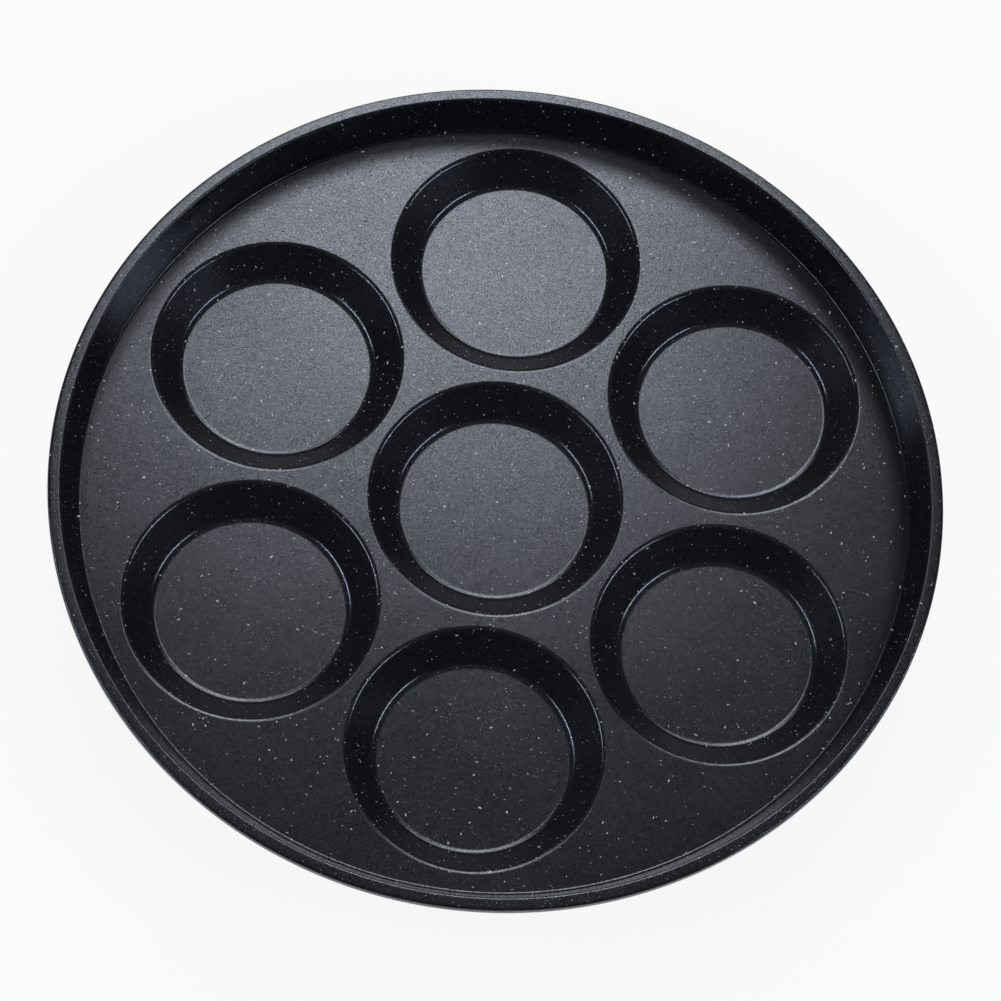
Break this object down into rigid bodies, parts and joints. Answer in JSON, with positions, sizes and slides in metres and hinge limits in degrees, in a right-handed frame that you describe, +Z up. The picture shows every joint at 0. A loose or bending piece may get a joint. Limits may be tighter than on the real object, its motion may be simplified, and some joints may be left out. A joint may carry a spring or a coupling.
{
  "type": "multi-well pancake pan",
  "caption": "Round low-walled cast pan without a handle, with shallow flat-bottomed round wells in its floor, for cooking small pancakes on a hob.",
  "frame": {"origin": "on the axis of the middle well, in the plane that the pan stands on", "axes": "+Z up out of the wells, +Y from the middle well towards one well of the ring"},
  "size_m": [0.27, 0.27, 0.0241],
  "materials": {
    "bare_aluminium": "die-cast and machined flat on the feet, bare",
    "stone_nonstick": "satin stone-effect non-stick, charcoal with cream flecks",
    "outside_black": "satin black heat-proof paint",
    "disc_steel": "turned ferritic stainless steel"
  },
  "bodies": {
    "root": {"pan_body": "bare_aluminium", "nonstick_coating": "stone_nonstick", "outside_coating": "outside_black", "induction_disc_1": "disc_steel", "induction_disc_2": "disc_steel", "induction_disc_3": "disc_steel", "induction_disc_4": "disc_steel", "induction_disc_5": "disc_steel", "induction_disc_6": "disc_steel", "induction_disc_7": "disc_steel"}
  },
  "joints": []
}
